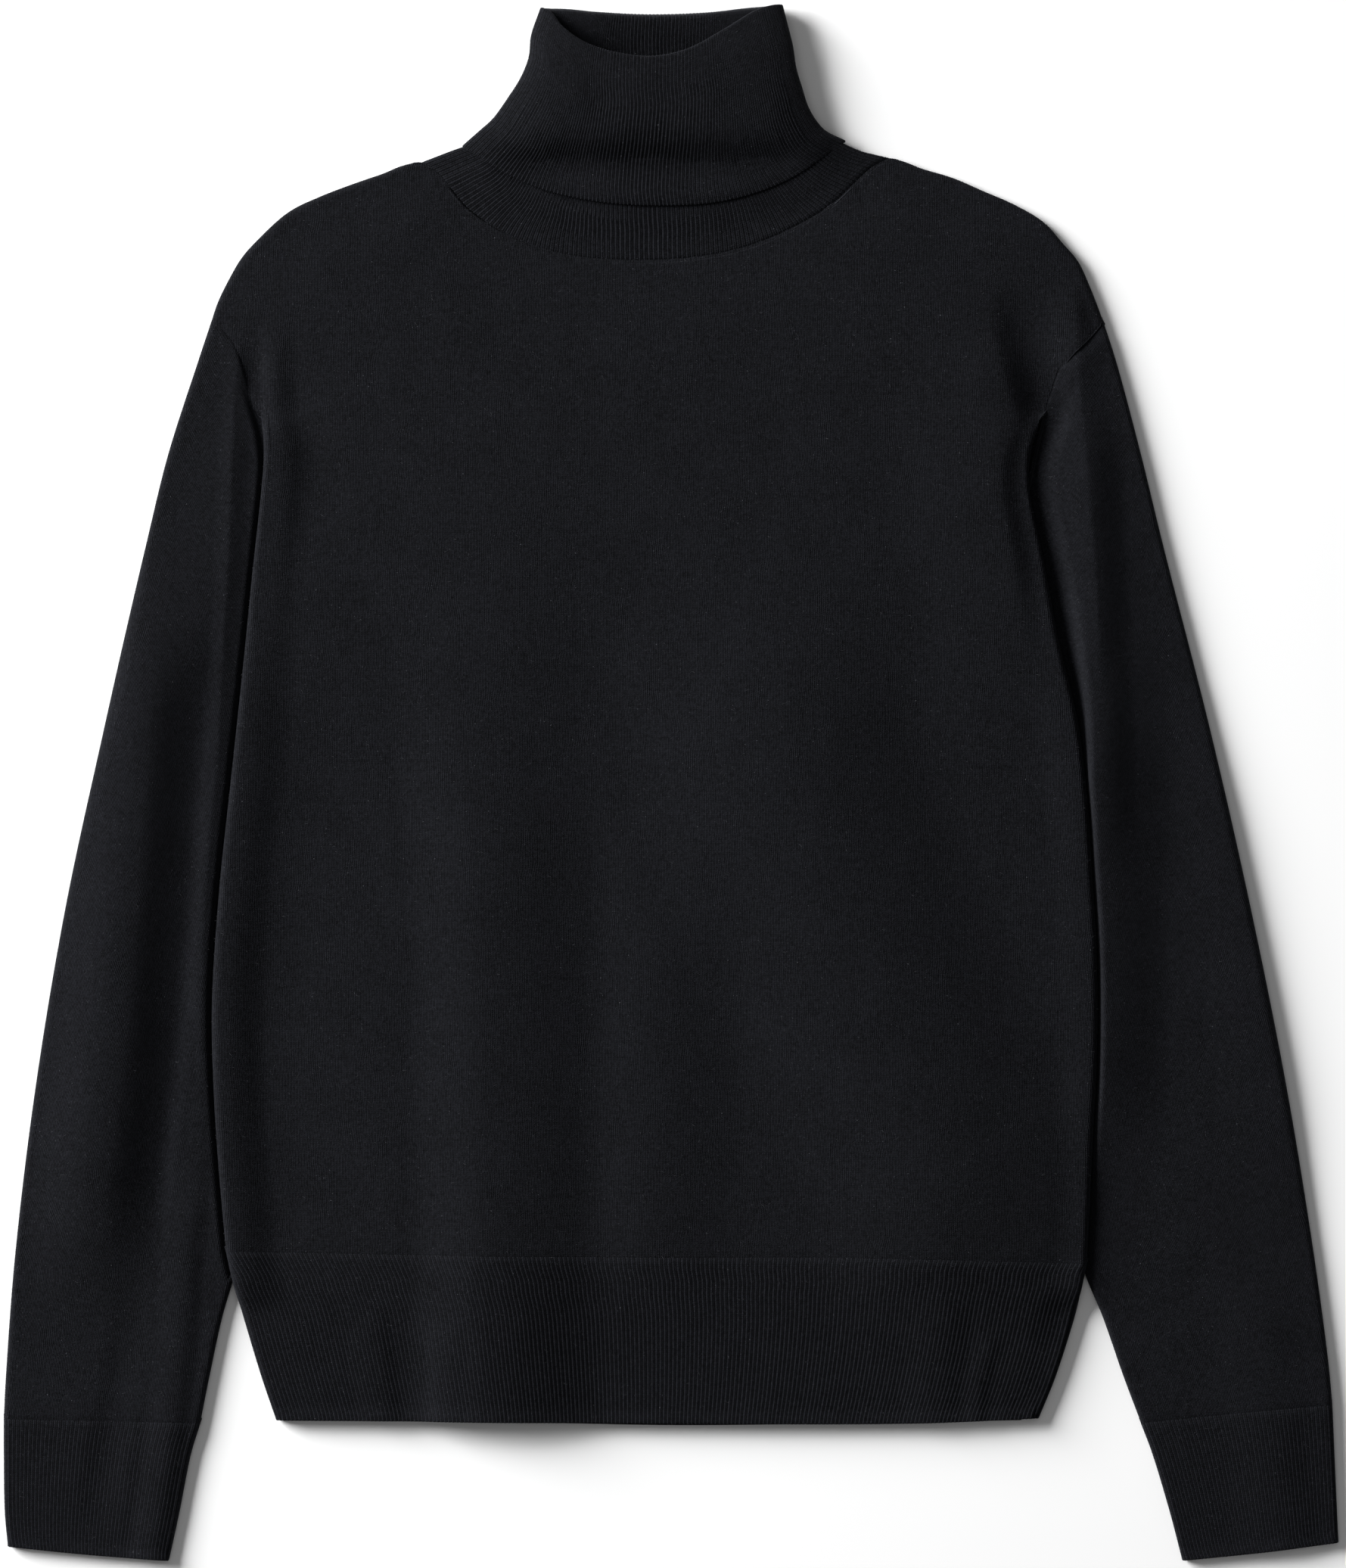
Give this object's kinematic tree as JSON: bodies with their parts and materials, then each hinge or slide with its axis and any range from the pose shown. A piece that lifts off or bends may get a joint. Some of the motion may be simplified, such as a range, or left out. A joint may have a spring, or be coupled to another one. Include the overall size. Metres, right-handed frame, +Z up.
{
  "type": "turtleneck sweater",
  "caption": "Fine-knit turtleneck sweater laid flat, with a folded rib collar, long sleeves tucked under the body's side edges, ribbed cuffs and a ribbed hem.",
  "frame": {"origin": "centre of the footprint on the surface that the sweater lies on", "axes": "+X to the viewer's right across the body, +Y from hem to neck, +Z up, away from the surface"},
  "size_m": [0.662, 0.7703, 0.0136],
  "materials": {
    "jersey": "black plain-knit wool with a soft, slightly hairy surface",
    "rib": "black ribbed wool knit, soft and matt"
  },
  "bodies": {
    "root": {"front_panel": "jersey", "back_panel": "jersey", "sleeve_left": "jersey", "sleeve_right": "jersey", "hem_rib_front": "rib", "hem_rib_back": "rib", "cuff_left": "rib", "cuff_right": "rib", "collar": "rib"}
  },
  "joints": []
}
